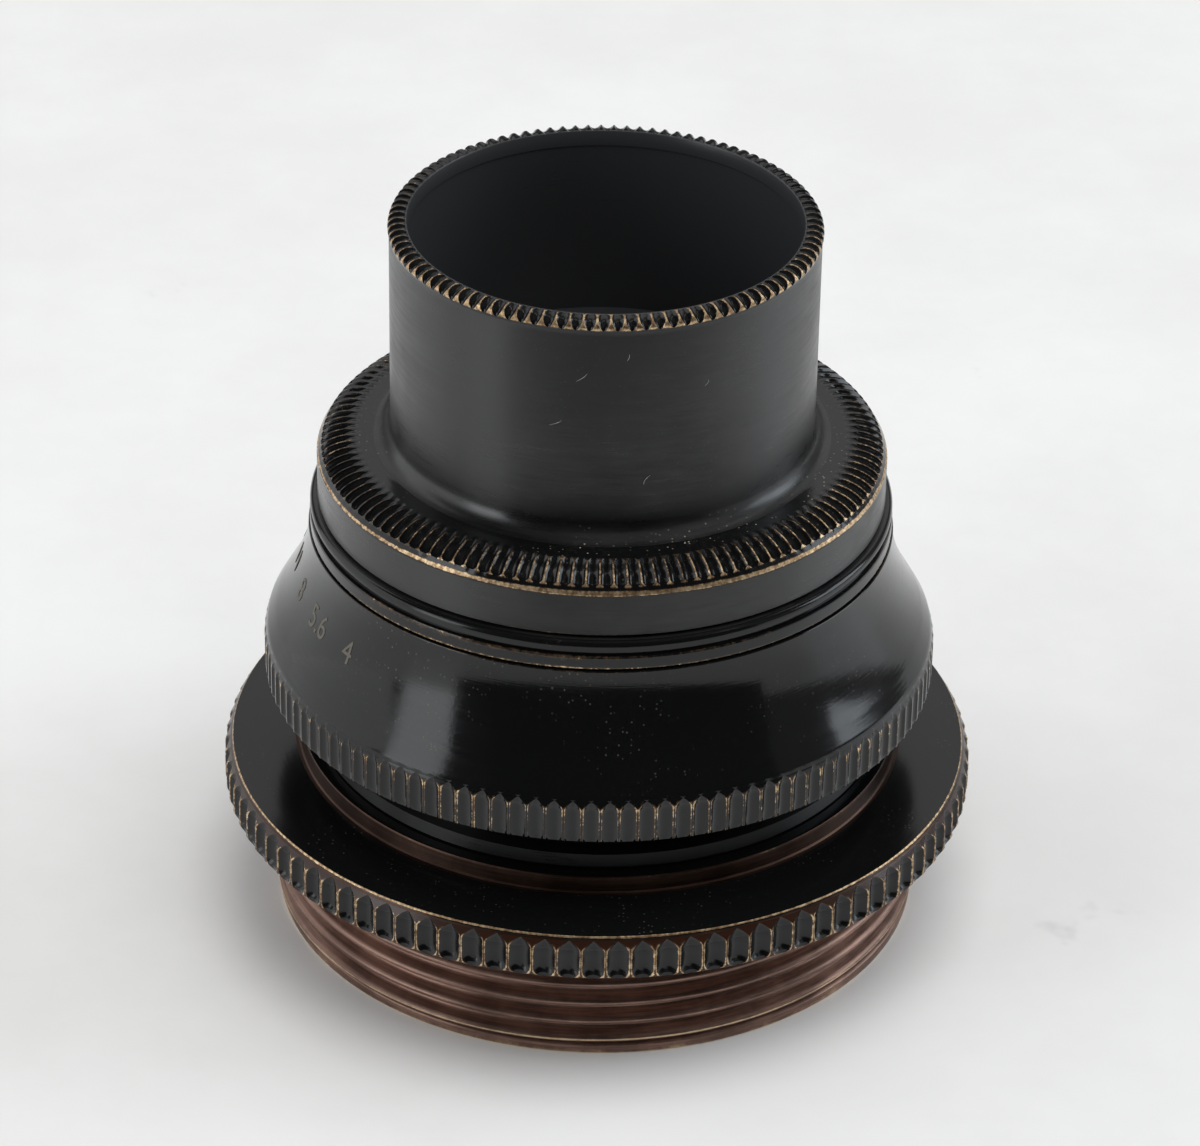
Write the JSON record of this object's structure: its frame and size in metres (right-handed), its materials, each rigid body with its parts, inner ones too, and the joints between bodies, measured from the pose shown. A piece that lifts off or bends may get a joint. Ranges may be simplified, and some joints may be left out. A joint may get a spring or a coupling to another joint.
{
  "type": "brass portrait lens",
  "caption": "Small black-lacquered brass portrait lens: knurled hood and front cell, iris control ring, bladed iris, rear cell, threaded mount flange.",
  "frame": {"origin": "centre of the bottom face of the male mounting thread, on the optical axis", "axes": "+Z along the optical axis from the rear thread towards the hood; the drive pin lies near +Y"},
  "size_m": [0.0366, 0.0366, 0.0364],
  "materials": {
    "black_lacquer": "gloss black lacquer over brass, worn to bright brass on edges and knurl crests",
    "bronzed_brass": "brown bronzed brass thread and flange, black on the flange's top and knurl, worn bright on edges",
    "blackened_brass": "matt chemically blackened brass",
    "raw_brass": "turned brass, dulled with age",
    "steel": "plain turned steel",
    "blade_steel": "blued black spring steel sheet, matt",
    "crown_glass": "polished uncoated crown glass",
    "flint_glass": "polished uncoated flint glass"
  },
  "bodies": {
    "mount": {"mount_flange": "bronzed_brass", "barrel": "black_lacquer", "iris_lock_ring": "blackened_brass", "hood_cell": "black_lacquer", "front_crown": "crown_glass", "front_flint": "flint_glass", "front_retainer": "blackened_brass", "rear_cell": "raw_brass", "rear_flint": "flint_glass", "rear_spacer": "blackened_brass", "rear_crown": "crown_glass", "rear_retainer": "blackened_brass", "drive_ring_keeper": "steel", "iris_seat_ring": "blackened_brass", "seat_screw_1": "steel", "seat_screw_2": "steel", "seat_screw_3": "steel"},
    "iris_control": {"iris_control_ring": "black_lacquer", "iris_drive_ring": "blackened_brass", "iris_drive_pin": "steel"},
    "blade_01": {"iris_blade_01": "blade_steel"},
    "blade_02": {"iris_blade_02": "blade_steel"},
    "blade_03": {"iris_blade_03": "blade_steel"},
    "blade_04": {"iris_blade_04": "blade_steel"},
    "blade_05": {"iris_blade_05": "blade_steel"},
    "blade_06": {"iris_blade_06": "blade_steel"},
    "blade_07": {"iris_blade_07": "blade_steel"},
    "blade_08": {"iris_blade_08": "blade_steel"},
    "blade_09": {"iris_blade_09": "blade_steel"},
    "blade_10": {"iris_blade_10": "blade_steel"}
  },
  "joints": [
    {"name": "iris_turn", "type": "hinge", "parent": "mount", "child": "iris_control", "pos_m": [0, 0, 0.015], "axis": [0, 0, 1], "range_deg": [0, 64]},
    {"name": "blade_01_swing", "type": "hinge", "parent": "mount", "child": "blade_01", "pos_m": [0.0109, 0, 0.0165], "axis": [0, 0, 1], "range_deg": [0, 32]},
    {"name": "blade_02_swing", "type": "hinge", "parent": "mount", "child": "blade_02", "pos_m": [0.00882, 0.00641, 0.0165], "axis": [0, 0, 1], "range_deg": [0, 32]},
    {"name": "blade_03_swing", "type": "hinge", "parent": "mount", "child": "blade_03", "pos_m": [0.00337, 0.01037, 0.0165], "axis": [0, 0, 1], "range_deg": [0, 32]},
    {"name": "blade_04_swing", "type": "hinge", "parent": "mount", "child": "blade_04", "pos_m": [-0.00337, 0.01037, 0.0165], "axis": [0, 0, 1], "range_deg": [0, 32]},
    {"name": "blade_05_swing", "type": "hinge", "parent": "mount", "child": "blade_05", "pos_m": [-0.00882, 0.00641, 0.0165], "axis": [0, 0, 1], "range_deg": [0, 32]},
    {"name": "blade_06_swing", "type": "hinge", "parent": "mount", "child": "blade_06", "pos_m": [-0.0109, 0, 0.0165], "axis": [0, 0, 1], "range_deg": [0, 32]},
    {"name": "blade_07_swing", "type": "hinge", "parent": "mount", "child": "blade_07", "pos_m": [-0.00882, -0.00641, 0.0165], "axis": [0, 0, 1], "range_deg": [0, 32]},
    {"name": "blade_08_swing", "type": "hinge", "parent": "mount", "child": "blade_08", "pos_m": [-0.00337, -0.01037, 0.0165], "axis": [0, 0, 1], "range_deg": [0, 32]},
    {"name": "blade_09_swing", "type": "hinge", "parent": "mount", "child": "blade_09", "pos_m": [0.00337, -0.01037, 0.0165], "axis": [0, 0, 1], "range_deg": [0, 32]},
    {"name": "blade_10_swing", "type": "hinge", "parent": "mount", "child": "blade_10", "pos_m": [0.00882, -0.00641, 0.0165], "axis": [0, 0, 1], "range_deg": [0, 32]}
  ],
  "couplings": [
    {"joint": "blade_01_swing", "follows": "iris_turn", "ratio": 0.5},
    {"joint": "blade_02_swing", "follows": "iris_turn", "ratio": 0.5},
    {"joint": "blade_03_swing", "follows": "iris_turn", "ratio": 0.5},
    {"joint": "blade_04_swing", "follows": "iris_turn", "ratio": 0.5},
    {"joint": "blade_05_swing", "follows": "iris_turn", "ratio": 0.5},
    {"joint": "blade_06_swing", "follows": "iris_turn", "ratio": 0.5},
    {"joint": "blade_07_swing", "follows": "iris_turn", "ratio": 0.5},
    {"joint": "blade_08_swing", "follows": "iris_turn", "ratio": 0.5},
    {"joint": "blade_09_swing", "follows": "iris_turn", "ratio": 0.5},
    {"joint": "blade_10_swing", "follows": "iris_turn", "ratio": 0.5}
  ]
}
